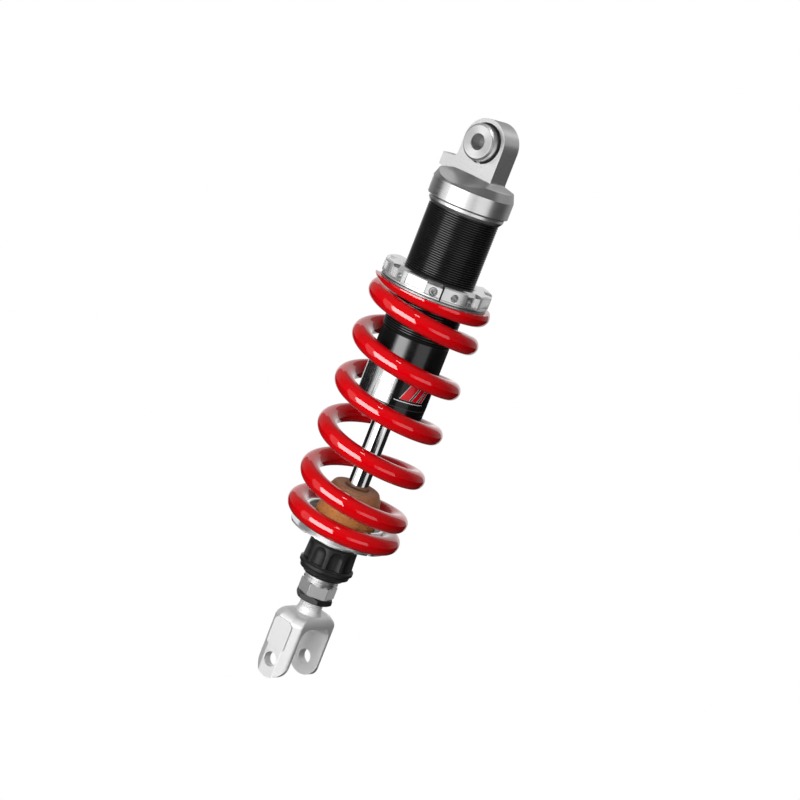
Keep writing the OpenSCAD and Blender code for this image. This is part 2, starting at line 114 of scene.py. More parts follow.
def make_camera():
    back = direction(CAMERA_AZIMUTH, CAMERA_ELEVATION)
    right = (-back).cross(Vector((0, 0, 1))).normalized()
    up = right.cross(-back)
    aim = Vector((0, 0, AIM_HEIGHT)) + right * AIM_SIDE
    roll = radians(CAMERA_ROLL)
    rolled_right = right * cos(roll) + up * sin(roll)
    rolled_up = up * cos(roll) - right * sin(roll)
    data = bpy.data.cameras.new("camera")
    data.lens = LENS
    data.sensor_width = 36
    data.clip_start, data.clip_end = 0.05, 30
    camera = bpy.data.objects.new("camera", data)
    turn = Matrix((rolled_right, rolled_up, back)).transposed().to_4x4()
    camera.matrix_world = Matrix.Translation(aim + back * CAMERA_DISTANCE) @ turn
    bpy.context.scene.collection.objects.link(camera)
    bpy.context.scene.camera = camera


def make_light(name, azimuth, elevation, distance, width, height, radiance, only=None):
    """A soft box that faces the object; azimuth is measured from the camera's own. A light made with
    only="diffuse" leaves no reflection, and one with only="glossy" gives nothing else."""
    data = bpy.data.lights.new(name, "AREA")
    data.shape = "RECTANGLE"
    data.size, data.size_y = width, height
    data.energy = radiance * pi * width * height
    light = bpy.data.objects.new(name, data)
    toward = direction(CAMERA_AZIMUTH + azimuth, elevation)
    light.location = LIT_CENTRE + toward * distance
    light.rotation_mode = "QUATERNION"
    light.rotation_quaternion = toward.to_track_quat("Z", "Y")
    light.visible_camera = False
    light.visible_glossy = only != "diffuse"
    light.visible_diffuse = only != "glossy"
    bpy.context.scene.collection.objects.link(light)
    return light


def make_lights():
    """Soft boxes round the object. Each linked one is mirrored by one group of pieces alone, so that
    paint, bare metal and black parts show the gloss they have. Returns the groups."""
    make_light("key_box", -34.5, -2, 1.05, 0.94, 0.84, 2.4)
    make_light("fill_box", 39, 1, 1.1, 0.86, 0.6, 1.0)
    make_light("top_lamp", -2, 66, 1.0, 0.12, 0.12, 16.0)
    make_light("soft_front", -20, 12, 1.1, 1.2, 1.0, 4.8, "diffuse")
    make_light("soft_back", 165, 14, 1.2, 1.4, 1.0, 4.0, "diffuse")
    linked = (
        ("paint_key", "paint", -36, -2, 1.04, 1.0, 0.78, 11.0),
        ("paint_fill", "paint", 43, 1, 1.09, 0.7, 0.5, 0.9),
        ("paint_wing", "paint", -73, 0, 1.05, 0.42, 1.2, 0.95),
        ("paint_back", "paint", 180, 4, 1.12, 1.2, 1.3, 0.75),
        ("metal_wing", "plain", -73, 0, 1.05, 0.42, 1.2, 0.8),
        ("metal_front", "bare", 2, -6, 1.06, 0.44, 0.9, 0.85),
        ("trim_left", "trim", -108, -6, 1.06, 0.8, 0.9, 0.35),
        ("trim_right", "trim", 128, -6, 1.06, 0.7, 0.9, 0.35),
        ("trim_back", "trim", 180, 12, 1.1, 1.0, 0.6, 0.6),
        ("metal_high", "bare", 108, 40, 1.0, 1.0, 0.6, 0.26),
        ("tube_key", "tube", -34, -2, 1.03, 0.66, 0.9, 4.8),
        ("rod_fill", "rod", 62, 1, 1.1, 0.6, 0.9, 0.75),
        ("back_key", "plain", 188, -17, 1.1, 0.6, 0.8, 1.6),
        ("overhead", "plain", 180, 74, 1.0, 1.6, 1.2, 0.3),
    )
    names = ("paint", "bare", "trim", "tube", "rod", "plain")
    groups = {name: bpy.data.collections.new(name) for name in names}
    for name, group, *place in linked:
        make_light(name, *place, "glossy").light_linking.receiver_collection = groups[group]
    return groups


def make_world():
    """White to the camera; to everything else a grey studio that brightens behind the object."""
    world = bpy.data.worlds.new("studio")
    bpy.context.scene.world = world
    world.use_nodes = True
    g = Graph(world.node_tree)
    way = g.add("ShaderNodeTexCoord")["Generated"]
    behind = tuple(-direction(CAMERA_AZIMUTH, 0))
    facing = g.range(g.vector_math("DOT_PRODUCT", way, behind, "Value"), -1, 1, 0, 1)
    around = g.ramp(facing, (0.0, 0.06), (0.3, 0.08), (0.68, 0.1), (0.80, 0.25), (0.9, 0.34))
    up = g.vector_math("DOT_PRODUCT", way, (0, 0, 1), "Value")
    above = g.ramp(up, (0.3, 0.0), (0.6, 0.12), (1.0, 0.15))
    level = g.vector_math("MAXIMUM", around, above)
    studio = g.add("ShaderNodeBackground", Color=level, Strength=1.0)[0]
    white = g.add("ShaderNodeBackground", Color=grey(1), Strength=1.0)[0]
    g.surface("ShaderNodeOutputWorld", g.camera_sees(white, studio))


def make_floor():
    """A wide pale floor, so bright that it meets the white background without a line."""
    mesh = bpy.data.meshes.new("floor")
    b = bmesh.new()
    bmesh.ops.create_grid(b, x_segments=4, y_segments=4, size=FLOOR_HALF)
    bmesh.ops.translate(b, verts=b.verts, vec=(0, 0, FLOOR_Z))
    b.to_mesh(mesh)
    b.free()
    floor = bpy.data.objects.new("floor", mesh)
    bpy.context.scene.collection.objects.link(floor)
    material = bpy.data.materials.new("floor_paper")
    material.use_nodes = True
    g = Graph(material.node_tree)
    paper = g.add("ShaderNodeBsdfDiffuse", Color=grey(0.07))[0]
    white = g.add("ShaderNodeEmission", Color=grey(1), Strength=1.0)[0]
    g.surface("ShaderNodeOutputMaterial", g.camera_sees(white, paper))
    mesh.materials.append(material)


# ---- node graphs ----

class Graph:
    """Short calls for building a node tree."""

    def __init__(self, tree):
        self.tree = tree
        tree.nodes.clear()

    def put(self, node, name, value):
        """Links a socket to an input, or sets the input; its name may be a number."""
        if isinstance(value, bpy.types.NodeSocket):
            self.tree.links.new(value, node.inputs[name])
        else:
            node.inputs[name].default_value = value

    def node(self, kind, settings=None, *numbered, **named):
        made = self.tree.nodes.new(kind)
        for name, value in (settings or {}).items():
            setattr(made, name, value)
        for number, value in enumerate(numbered):
            self.put(made, number, value)
        for name, value in named.items():
            self.put(made, name.replace("_", " "), value)
        return made

    def add(self, *node, **named):
        """A new node's outputs."""
        return self.node(*node, **named).outputs

    def surface(self, kind, shader):
        self.put(self.tree.nodes.new(kind), "Surface", shader)

    def camera_sees(self, seen, otherwise):
        """One shader for the camera and another for every other ray."""
        camera_ray = self.add("ShaderNodeLightPath")["Is Camera Ray"]
        return self.add("ShaderNodeMixShader", None, camera_ray, otherwise, seen)[0]

    def math(self, kind, *values, clamp=False):
        return self.add("ShaderNodeMath", {"operation": kind, "use_clamp": clamp}, *values)[0]

    def vector_math(self, kind, a, b, out="Vector"):
        return self.add("ShaderNodeVectorMath", {"operation": kind}, a, b)[out]

    def ramp(self, factor, *stops):
        """A grey that follows stops of (place, level)."""
        made = self.node("ShaderNodeValToRGB", Fac=factor)
        elements = made.color_ramp.elements
        for i, (place, level) in enumerate(stops):
            stop = elements[i] if i < 2 else elements.new(place)
            stop.position = place
            stop.color = grey(level)
        return made.outputs["Color"]

    def mix(self, factor, a, b):
        """Colour a where factor is 0 and colour b where it is 1."""
        made = self.node("ShaderNodeMix", {"data_type": "RGBA"})
        for number, value in ((0, factor), (6, a), (7, b)):
            self.put(made, number, value)
        return made.outputs[2]

    def noise(self, place, scale, detail, rough):
        return self.add("ShaderNodeTexNoise", Vector=place, Scale=scale, Detail=detail, Roughness=rough)[0]

    def range(self, value, from_low, from_high, to_low, to_high):
        return self.add("ShaderNodeMapRange", Value=value, From_Min=from_low, From_Max=from_high,
                        To_Min=to_low, To_Max=to_high)[0]

    def total(self, first, second):
        """The sum of two values, each given with the range it has and the range it takes."""
        return self.math("ADD", self.range(*first), self.range(*second))

    def tinge(self, tone, value, start, end, share, colour):
        """A tone that takes on a share of a colour as value goes from start to end."""
        return self.mix(self.range(value, start, end, 0, share), tone, colour)

    def object_place(self):
        return self.add("ShaderNodeTexCoord")["Object"]

    def vector(self, x, y, z):
        return self.add("ShaderNodeCombineXYZ", X=x, Y=y, Z=z)[0]

    def bump(self, height, strength, depth):
        return self.add("ShaderNodeBump", Height=height, Strength=strength, Distance=depth)["Normal"]


def turned_place(g, axis="Z"):
    """A place in which a lathe's marks are nearly constant, as radius and length vary and angle hardly
    does; then the radius, angle and length themselves."""
    x, y, z = g.add("ShaderNodeSeparateXYZ", Vector=g.object_place())
    if axis == "Y":
        x, y, z = x, z, y
    radius = g.math("SQRT", g.math("ADD", g.math("MULTIPLY", x, x), g.math("MULTIPLY", y, y)))
    angle = g.math("ARCTAN2", y, x)
    return g.vector(radius, z, g.math("MULTIPLY", angle, 0.0006)), radius, angle, z


def grey(level, tint=(1, 1, 1)):
    return tuple(level * t for t in tint) + (1,)


def shaded(name, build, **numbers):
    """A material with one Principled shader. build(g) returns its colour, roughness and normal, and
    may add a dictionary of other linked sockets."""
    material = bpy.data.materials.new(name)
    material.use_nodes = True
    g = Graph(material.node_tree)
    shader = g.node("ShaderNodeBsdfPrincipled", **numbers)
    colour, rough, normal, *others = build(g)
    linked = {"Base Color": colour, "Roughness": rough, "Normal": normal}
    linked.update(*others)
    for socket, value in linked.items():
        g.put(shader, socket, value)
    g.surface("ShaderNodeOutputMaterial", shader.outputs["BSDF"])
    return material


# ---- materials ----

def turned_metal(name, colour, rough, axis="Z", tint=(1, 1, 1), sheen=0.0):
    """Bright metal from a lathe: fine rings in its gloss and relief, and soft blotches."""
    def build(g):
        place = turned_place(g, axis)[0]
        fine = g.noise(place, 5200, 2, 0.6)
        rings = g.noise(place, 1300, 3, 0.6)
        blotch = g.noise(g.object_place(), 60, 4, 0.6)
        gloss = g.total((fine, 0.3, 0.7, -0.02, 0.02), (rings, 0.3, 0.7, -0.02, 0.02))
        gloss = g.math("ADD", gloss, g.range(blotch, 0.3, 0.7, rough - 0.02, rough + 0.02))
        tone = g.tinge(grey(colour * 0.95, tint), rings, 0.25, 0.75, 1, grey(colour * 1.03, tint))
        tone = g.tinge(tone, blotch, 0.35, 0.8, 0.3, grey(colour * 0.93, tint))
        relief = g.bump(g.math("ADD", fine, rings), 0.15, 0.00001)
        if not sheen:
            return tone, gloss, relief
        tangent = g.add("ShaderNodeTangent", {"direction_type": "RADIAL", "axis": axis})[0]
        return tone, gloss, relief, {"Tangent": tangent}
    return shaded(name, build, Metallic=1.0, Anisotropic=sheen)


def blasted_metal(name, colour, rough):
    """Aluminium after glass-bead blasting: an even, fine pebble grain with faint clouds."""
    def build(g):
        place = g.object_place()
        grain = g.noise(place, 2600, 3, 0.75)
        pits = g.noise(place, 900, 2, 0.5)
        cloud = g.noise(place, 55, 4, 0.6)
        gloss = g.total((grain, 0.3, 0.7, -0.06, 0.07), (cloud, 0.3, 0.7, rough - 0.03, rough + 0.05))
        tone = g.tinge(grey(colour), cloud, 0.3, 0.75, 0.4, grey(colour * 0.88))
        tone = g.tinge(tone, pits, 0.6, 0.75, 0.3, grey(colour * 0.8))
        relief = g.bump(g.math("ADD", grain, g.math("MULTIPLY", pits, 0.5)), 0.45, 0.00005)
        return tone, gloss, relief
    return shaded(name, build, Metallic=0.72)


def chrome(name):
    """Hard chrome on the ground rod: mirror-like, with hair-fine grinding rings."""
    def build(g):
        rings = g.noise(turned_place(g)[0], 4200, 2, 0.5)
        smear = g.noise(g.object_place(), 90, 4, 0.6)
        gloss = g.total((rings, 0.3, 0.7, -0.012, 0.015), (smear, 0.35, 0.75, 0.055, 0.1))
        tone = g.tinge(grey(0.86), smear, 0.3, 0.8, 0.5, grey(0.78, (1, 0.985, 0.97)))
        return tone, gloss, g.bump(rings, 0.08, 0.00002)
    return shaded(name, build, Metallic=1.0)


def red_powder(name):
    """Thick gloss red powder coat: slight orange peel, deeper and lighter patches, tiny specks."""
    def build(g):
        place = g.object_place()
        peel = g.noise(place, 420, 2, 0.45)
        fine = g.noise(place, 1900, 2, 0.5)
        patch = g.noise(place, 38, 4, 0.6)
        speck = g.noise(place, 2600, 1, 0.4)
        tone = g.tinge((0.47, 0.0004, 0.003, 1), patch, 0.3, 0.75, 1, (0.43, 0.0003, 0.002, 1))
        tone = g.tinge(tone, speck, 0.72, 0.8, 0.2, (0.28, 0.001, 0.003, 1))
        gloss = g.range(fine, 0.3, 0.7, 0.26, 0.36)
        relief = g.bump(g.math("ADD", peel, g.math("MULTIPLY", fine, 0.25)), 0.16, 0.00009)
        return tone, gloss, relief
    return shaded(name, build, Specular_IOR_Level=0.0, Coat_Weight=1.0, Coat_Roughness=0.03, Coat_IOR=1.5)


def black_metal(name, level, rough, marks=0.0, threaded=False):
    """Black anodised or oxided metal, with grain, dusty patches and optional turning marks."""
    def build(g):
        turned, radius, angle, z = turned_place(g)
        place = g.object_place()
        rings = g.noise(turned, 2600, 2, 0.6)
        grain = g.noise(place, 2300, 3, 0.7)
        dust = g.noise(place, 70, 5, 0.65)
        tone = g.tinge(grey(level), dust, 0.35, 0.8, 1, grey(level * 1.9, (1, 0.98, 0.97)))
        gloss = g.total((grain, 0.3, 0.7, -0.04, 0.05), (dust, 0.3, 0.8, rough - 0.03, rough + 0.08))
        relief = g.bump(g.math("ADD", grain, g.math("MULTIPLY", rings, marks)), 0.16, 0.00004)
        if not threaded:
            return tone, gloss, relief
        # Painted highlight: the thread's crests get a lighter colour, speckled by the dust noise, which
        # draws light lines along them; the crests also get a higher specular level than the roots, and below
        # the thread the tube is glossy.
        crest = g.range(radius, (THREAD_R - 0.4) * MM, (THREAD_R - 0.1) * MM, 0, 1)
        below = g.range(z, (THREAD_END - 0.6) * MM, (THREAD_END - 0.2) * MM, 0.6, 0)
        crest_highlight = g.math("MULTIPLY", crest, g.range(dust, 0.3, 0.75, 0.55, 1.0))
        tone = g.mix(crest_highlight, tone, (0.022, 0.022, 0.023, 1))
        specular = g.math("ADD", below, g.range(crest, 0, 1, 0.05, 0.55))
        return tone, gloss, relief, {"Specular IOR Level": specular}
    return shaded(name, build, Specular_IOR_Level=0.8)


def moulded_black(name, level, rough, grain_size=1500):
    """Black plastic or rubber with a fine moulded texture."""
    def build(g):
        place = g.object_place()
        grain = g.noise(place, grain_size, 3, 0.65)
        haze = g.noise(place, 85, 5, 0.6)
        tone = g.tinge(grey(level), haze, 0.3, 0.8, 1, grey(level * 1.8, (1, 0.99, 0.98)))
        gloss = g.total((grain, 0.3, 0.7, -0.05, 0.05), (haze, 0.3, 0.8, rough - 0.03, rough + 0.08))
        return tone, gloss, g.bump(grain, 0.3, 0.00005)
    return shaded(name, build)


def foam(name):
    """Microcellular bump-stop foam: tan, browner with height, fine pores, hair cracks round the ring."""
    def build(g):
        place = g.object_place()
        _, radius, angle, z = turned_place(g)
        pores = g.add("ShaderNodeTexVoronoi", {"feature": "F1"}, Vector=place, Scale=1700)["Distance"]
        cloud = g.noise(place, 120, 5, 0.65)
        stretched = g.vector(g.math("MULTIPLY", angle, 0.02), g.math("MULTIPLY", z, 2.2), radius)
        streak = g.noise(stretched, 420, 4, 0.7)
        height = g.range(z, low("bump_stop") * MM + 0.008, high("bump_stop") * MM, 0, 1)
        tone = g.mix(height, (0.60, 0.235, 0.055, 1), (0.27, 0.125, 0.07, 1))
        tone = g.tinge(tone, cloud, 0.35, 0.7, 0.7, (0.38, 0.16, 0.055, 1))
        tone = g.tinge(tone, streak, 0.56, 0.64, 0.75, (0.15, 0.065, 0.025, 1))
        relief = g.bump(g.math("ADD", pores, g.math("MULTIPLY", streak, 0.8)), 0.35, 0.00012)
        return tone, g.range(cloud, 0.3, 0.8, 0.5, 0.72), relief
    return shaded(name, build, Subsurface_Weight=0.06, Subsurface_Scale=0.002)


def step(g, value, edge, soft=0.00012):
    """0 below edge and 1 above it."""
    return g.range(value, edge - soft, edge + soft, 0, 1)


def between(g, value, start, end, soft=0.00012):
    """1 from start to end and 0 outside."""
    return g.math("SUBTRACT", step(g, value, start, soft), step(g, value, end, soft), clamp=True)


BARS = ((0.0028, 0.0092), (0.0112, 0.0152), (0.0172, 0.0194))    # in metres from the panel's edge
BAR_RIM = 0.0005
BAR_SLANT = -0.42


def label_film(name):
    """Printed foil sleeve: brushed silver on one side, a black panel with slanted red bars on the other."""
    top, bottom = high("body_label") * MM, low("body_label") * MM
    sleeve_r = BODY_R * MM

    def build(g):
        _, _, angle, z = turned_place(g)
        # Turn round the sleeve from the edge between foil and panel
        past_edge = g.math("SUBTRACT", angle, radians(SCREW_ANGLE - 1.5))
        turn = g.math("WRAP", past_edge, pi, -pi)
        along = g.math("MULTIPLY", turn, sleeve_r)
        brushed = g.vector(g.math("MULTIPLY", angle, sleeve_r), g.math("MULTIPLY", z, 0.03), 0.0)
        streak = g.noise(brushed, 1500, 3, 0.7)
        wear = g.noise(g.object_place(), 160, 4, 0.6)
        foil = g.tinge(grey(0.3), streak, 0.35, 0.65, 1, grey(0.85))
        # Painted shade: the foil is darkened to near black from 28 to 75 degrees round from the panel's
        # edge, on the foil's side, with its brushed streaks staying lighter in it.
        far_side = g.range(turn, radians(-28), radians(-75), 0, 1)
        shadow = g.math("SUBTRACT", far_side, g.range(streak, 0.42, 0.6, 0, 0.6), clamp=True)
        foil = g.mix(shadow, foil, grey(0.04))
        slant = g.math("ADD", along, g.math("MULTIPLY", g.math("SUBTRACT", z, bottom), BAR_SLANT))
        bars = rims = 0.0
        for start, end in BARS:
            bars = g.math("MAXIMUM", bars, between(g, slant, start, end))
            rims = g.math("MAXIMUM", rims, between(g, slant, start - BAR_RIM, end + BAR_RIM))
        window = between(g, z, bottom + 0.0065, top - 0.0022)
        panel = g.mix(g.math("MULTIPLY", rims, window), (0.005, 0.005, 0.005, 1), grey(0.35))
        panel = g.mix(g.math("MULTIPLY", bars, window), panel, (0.46, 0.0015, 0.008, 1))
        line = between(g, z, bottom + 0.0047, bottom + 0.0052, 0.00006)
        panel = g.mix(g.math("MULTIPLY", line, between(g, along, 0.002, 0.024)), panel, grey(0.5))
        on_panel = step(g, along, 0.0)
        border = g.math("SUBTRACT", 1.0, between(g, z, bottom + 0.0007, top - 0.0007))
        tone = g.mix(border, g.mix(on_panel, foil, panel), grey(0.03))
        shine = g.math("SUBTRACT", 1.0, g.math("MAXIMUM", on_panel, border), clamp=True)
        brush_gloss = g.math("MULTIPLY", shine, g.range(streak, 0.3, 0.7, 0.02, 0.16))
        gloss = g.math("ADD", g.range(wear, 0.3, 0.8, 0.1, 0.2), brush_gloss)
        return tone, gloss, g.bump(streak, 0.1, 0.00003), {"Metallic": shine}
    return shaded(name, build, Specular_IOR_Level=0.3, Coat_Weight=0.1, Coat_Roughness=0.06)


def make_looks():
    """One material for each of the record's slots."""
    return {
        "machined_alloy": turned_metal("machined_alloy", 0.80, 0.3),
        "blasted_alloy": blasted_metal("blasted_alloy", 0.86, 0.5),
        "bearing_steel": turned_metal("bearing_steel", 0.76, 0.36, axis="Y", sheen=0.75),
        "black_steel": black_metal("black_steel", 0.012, 0.3),
        "rod_chrome": chrome("rod_chrome"),
        "valve_brass": turned_metal("valve_brass", 0.75, 0.28, tint=(1, 0.72, 0.34)),
        "bush_bronze": turned_metal("bush_bronze", 0.55, 0.35, tint=(1, 0.68, 0.4)),
        "black_anodised": black_metal("black_anodised", 0.003, 0.17, marks=0.05, threaded=True),
        "red_powder_coat": red_powder("red_powder_coat"),
        "label_film": label_film("label_film"),
        "black_plastic": moulded_black("black_plastic", 0.009, 0.34),
        "black_rubber": moulded_black("black_rubber", 0.012, 0.55, 1100),
        "seal_brown": moulded_black("seal_brown", 0.05, 0.5),
        "bump_foam": foam("bump_foam"),
    }


# ---- mesh helpers ----

EDGE = 0.3                   # usual broken edge on a turned part
SAME_PLACE = 0.001           # outline corners closer than this are one corner
STRAIGHT = radians(177)      # a corner that opens wider than this isn't rounded
FAR = 40                     # beyond every surface, for cutters that go right through


def rounded(outline, steps=4):
    """A closed outline of (x, y, radius) corners with an arc at each; the radius may be left out."""
    result = []
    outline = [corner for i, corner in enumerate(outline)
               if (Vector(corner[:2]) - Vector(outline[i - 1][:2])).length > SAME_PLACE]
    for i, corner in enumerate(outline):
        at = Vector(corner[:2])
        radius = corner[2] if len(corner) > 2 else EDGE
        a = Vector(outline[i - 1][:2]) - at
        b = Vector(outline[(i + 1) % len(outline)][:2]) - at
        opening = a.angle(b)
        if radius == 0 or opening > STRAIGHT:
            result.append(at)
            continue
        back = min(radius / tan(opening / 2), 0.46 * a.length, 0.46 * b.length)
        radius = back * tan(opening / 2)
        centre = at + (a.normalized() + b.normalized()).normalized() * radius / sin(opening / 2)
        first, last = at + a.normalized() * back - centre, at + b.normalized() * back - centre
        sweep = first.angle_signed(last)
        count = max(2, round(steps * abs(sweep) / (pi / 2)))
        for k in range(count + 1):
            t = -sweep * k / count
            turned = Vector((first.x * cos(t) - first.y * sin(t), first.x * sin(t) + first.y * cos(t)))
            result.append(centre + turned)
    return result


def arc(centre, radius, start, end, count):
    """Points on a circle, in degrees, that need no rounding."""
    angles = [radians(start + (end - start) * i / count) for i in range(count + 1)]
    return [(centre[0] + radius * cos(a), centre[1] + radius * sin(a), 0) for a in angles]


def band(inner, outer, bottom, top, inner_edge, outer_edge):
    """The outline of a plain ring's section."""
    return [(inner, bottom, inner_edge), (outer, bottom, outer_edge),
            (outer, top, outer_edge), (inner, top, inner_edge)]


def new_object(name, verts, faces):
    mesh = bpy.data.meshes.new(name)
    mesh.from_pydata([tuple(v) for v in verts], [], faces)
    obj = bpy.data.objects.new(name, mesh)
    bpy.context.scene.collection.objects.link(obj)
    return obj


def clean(obj, distance=0.0005):
    b = bmesh.new()
    b.from_mesh(obj.data)
    bmesh.ops.remove_doubles(b, verts=b.verts, dist=distance)
    bmesh.ops.dissolve_degenerate(b, edges=b.edges, dist=distance)
    bmesh.ops.recalc_face_normals(b, faces=b.faces)
    b.to_mesh(obj.data)
    b.free()
    return obj


def lathe(name, outline, sides=128, axis="Z", steps=4, closed=True):
    """A ring or a solid turned from its half outline of (radius, height, corner radius)."""
    points = rounded(outline, steps) if closed else [Vector(p[:2]) for p in outline]
    n = len(points)
    verts = []
    for a in (2 * pi * i / sides for i in range(sides)):
        for radius, height in points:
            x, y = radius * cos(a), radius * sin(a)
            verts.append((x, y, height) if axis == "Z" else (x, height, y))
    faces = []
    for i in range(sides):
        j = (i + 1) % sides
        for k in range(n if closed else n - 1):
            m = (k + 1) % n
            faces.append((i * n + k, j * n + k, j * n + m, i * n + m))
    return clean(new_object(name, verts, faces))


def loft(name, rings):
    """A capped skin through rings of equally many points."""
    sides, n = len(rings[0]), len(rings)
    faces = [tuple(range(sides)), tuple(range(n * sides - 1, (n - 1) * sides - 1, -1))]
    for i in range(n - 1):
        for k in range(sides):
            m = (k + 1) % sides
            faces.append((i * sides + k, (i + 1) * sides + k, (i + 1) * sides + m, i * sides + m))
    return new_object(name, [point for ring in rings for point in ring], faces)


def prism(name, outline, axis, start, end, steps=6):
    """An outline extruded along an axis. It lies in XZ for Y, in YZ for X and in XY for Z."""
    place = {"X": lambda p, t: (t, p.x, p.y),
             "Y": lambda p, t: (p.x, t, p.y),
             "Z": lambda p, t: (p.x, p.y, t)}[axis]
    points = rounded(outline, steps)
    return clean(loft(name, [[place(p, t) for p in points] for t in (start, end)]))


def spun(obj, turn):
    """Turns a mesh about the Z axis, in degrees."""
    obj.data.transform(Matrix.Rotation(radians(turn), 4, "Z"))
    return obj


def block(x, y, z, turn=0.0):
    """A box between (low, high) pairs, then turned about the Z axis."""
    outline = [(x[0], y[0], 0), (x[1], y[0], 0), (x[1], y[1], 0), (x[0], y[1], 0)]
    return spun(prism("cutter", outline, "Z", *z), turn)


def drill(radius, start, end, sides=48):
    """A cylinder between two points, for cutting."""
    start, end = Vector(start), Vector(end)
    length = (end - start).length
    obj = lathe("cutter", [(0, 0, 0), (radius, 0, 0), (radius, length, 0), (0, length, 0)], sides)
    aim = (end - start).to_track_quat("Z", "Y").to_matrix().to_4x4()
    obj.data.transform(Matrix.Translation(start) @ aim)
    return obj


def joined(objects):
    """Several separate cutters as one mesh."""
    first = objects[0]
    b = bmesh.new()
    for o in objects:
        b.from_mesh(o.data)
    b.to_mesh(first.data)
    b.free()
    for o in objects[1:]:
        bpy.data.objects.remove(o)
    return first


def round_array(make, count, start=0.0, skip=()):
    """make() repeated about the Z axis."""
    return joined([spun(make(), start + 360 * i / count) for i in range(count) if i not in skip])


def bake_modifiers(obj):
    bpy.context.view_layer.update()
    mesh = bpy.data.meshes.new_from_object(obj.evaluated_get(bpy.context.evaluated_depsgraph_get()))
    obj.modifiers.clear()
    obj.data = mesh
    return obj


def combine(obj, other, how="DIFFERENCE"):
    """A boolean on a piece with another mesh, which is used up."""
    modifier = obj.modifiers.new("boolean", "BOOLEAN")
    modifier.object = other
    modifier.operation = how
    modifier.solver = "EXACT"
    bake_modifiers(obj)
    bpy.data.objects.remove(other)
    return clean(obj)


def break_edges(obj, width, segments=2, sharper_than=32):
    modifier = obj.modifiers.new("edges", "BEVEL")
    modifier.width = width
    modifier.segments = segments
    modifier.limit_method = "ANGLE"
    modifier.angle_limit = radians(sharper_than)
    modifier.use_clamp_overlap = True
    bake_modifiers(obj)


def finish_piece(obj, body, slot, node, weighted=True):
    """Scales a piece to metres, shades it, and puts it on its body in place of a CAD node."""
    if weighted:
        for polygon in obj.data.polygons:
            polygon.use_smooth = True
        obj.data.set_sharp_from_angle(angle=radians(50))
        modifier = obj.modifiers.new("normals", "WEIGHTED_NORMAL")
        modifier.keep_sharp = True
        modifier.weight = 60
        bake_modifiers(obj)
    obj.data.transform(Matrix.Scale(MM, 4))
    obj.data.materials.clear()
    obj.data.materials.append(LOOKS[slot])
    if body:
        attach(obj, body)
    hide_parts(node)
    groups = [{"red_powder_coat": "paint", "black_anodised": "tube"}.get(slot, "plain")]
    if slot in ("machined_alloy", "bearing_steel", "blasted_alloy"):
        groups.append("bare")
    if node in ("preload_ring", "rod_end", "spring_seat_lower"):
        groups.append("trim")
    if slot == "rod_chrome":
        groups.append("rod")
    for group in groups:
        LIT_GROUPS[group].objects.link(obj)


# ---- upper mount ----

LUG_R = 16.0
LUG_HALF = 8.5
LUG_FOOT = -21
CAP_TOP = -30
EYE_R = 13.3
SHOULDER_R = 28.3            # where the gas valve's shoulder ends
VALVE_Z = -19.4
CAP_SLOPE = tan(radians(22.7))


def make_top_mount():
    """The lug, the turned cap and the gas valve's shoulder, milled from one piece of aluminium."""
    end = low("top_mount")
    groove = end + 4.6
    rim = reach("gas_piston") + 7.55
    waist = rim - 1.8
    outline = [(0, end, 0), (THREAD_R + 0.6, end), (waist, end + 2, 0.2),
               (waist, groove - 0.6, 0.3), (rim - 0.8, groove, 0.15), (rim, groove + 0.4, 0.3),
               (rim, CAP_TOP, 0.5), (25.3, LUG_FOOT - 3, 1.2), (17, LUG_FOOT - 0.5, 0),
               (0, LUG_FOOT, 0)]
    cap = lathe("mount_body", outline, 160)
    # The cap falls away beside the lug
    for side in (-1, 1):
        y0, y1 = side * LUG_HALF, side * FAR
        fall = (FAR - LUG_HALF) * CAP_SLOPE
        beside = [(y0, LUG_FOOT + 0.2, 0), (y1, LUG_FOOT + 0.2 - fall, 0), (y1, 0, 0), (y0, 0, 0)]
        combine(cap, prism("cutter", beside, "X", -FAR, FAR))
    outline = arc((0, 0), LUG_R, 0, 180, 48) + arc((-19.2, -11.6), 3.2, 0, -90, 8)
    outline += [(-SHOULDER_R - 1, -15.4, 0), (-SHOULDER_R - 1, -23.4, 0), (-10, -25, 0),
                (10, -25, 0), (18.6, -24.4, 0)]
    outline += arc((18.6, -20.2), 2.6, 270, 180, 8)
    lug = prism("cutter", outline, "Y", -LUG_HALF, LUG_HALF)
    combine(lug, drill(SHOULDER_R, (0, 0, -FAR), (0, 0, 30), 160), "INTERSECT")
    mount = combine(cap, lug, "UNION")
    combine(mount, drill(THREAD_R, (0, 0, end - 1), (0, 0, high("damper_body")), 128))
    combine(mount, drill(3.6, (-FAR, 0, VALVE_Z), (-24, 0, VALVE_Z)))
    combine(mount, drill(EYE_R, (0, -20, 0), (0, 20, 0), 128))
    break_edges(mount, 0.45, 3)
    finish_piece(mount, "casing", "machined_alloy", "top_mount")


def make_collars():
    """The two stepped collars that the frame's bracket clamps against."""
    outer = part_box("collar_rear")[1].y / MM
    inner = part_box("collar_rear")[0].y / MM
    collar_r = reach("collar_rear")
    flange = inner + 2.4
    outline = [(BOLT_R, inner), (8.7, inner), (8.7, flange, 0.2), (collar_r, flange, 0.5),
               (collar_r, outer - 1.3, 0.5), (collar_r - 1.3, outer, 0.4),
               (BOLT_R + 0.3, outer, 0.1), (BOLT_R, outer - 0.3, 0.1)]
    mirrored = [(r, -y, *rest) for r, y, *rest in reversed(outline)]
    for name, points in (("collar_rear", outline), ("collar_front", mirrored)):
        finish_piece(lathe(name + "_turned", points, 128, "Y"), "upper_pivot", "bearing_steel", name)


# ---- damper body ----

THREAD_PITCH = 1.5
THREAD_DEPTH = 0.85
THREAD_SHAPE = (0.0, 0.0, 0.6, 1.0, 1.0, 0.6)    # share of the depth at even steps along one pitch


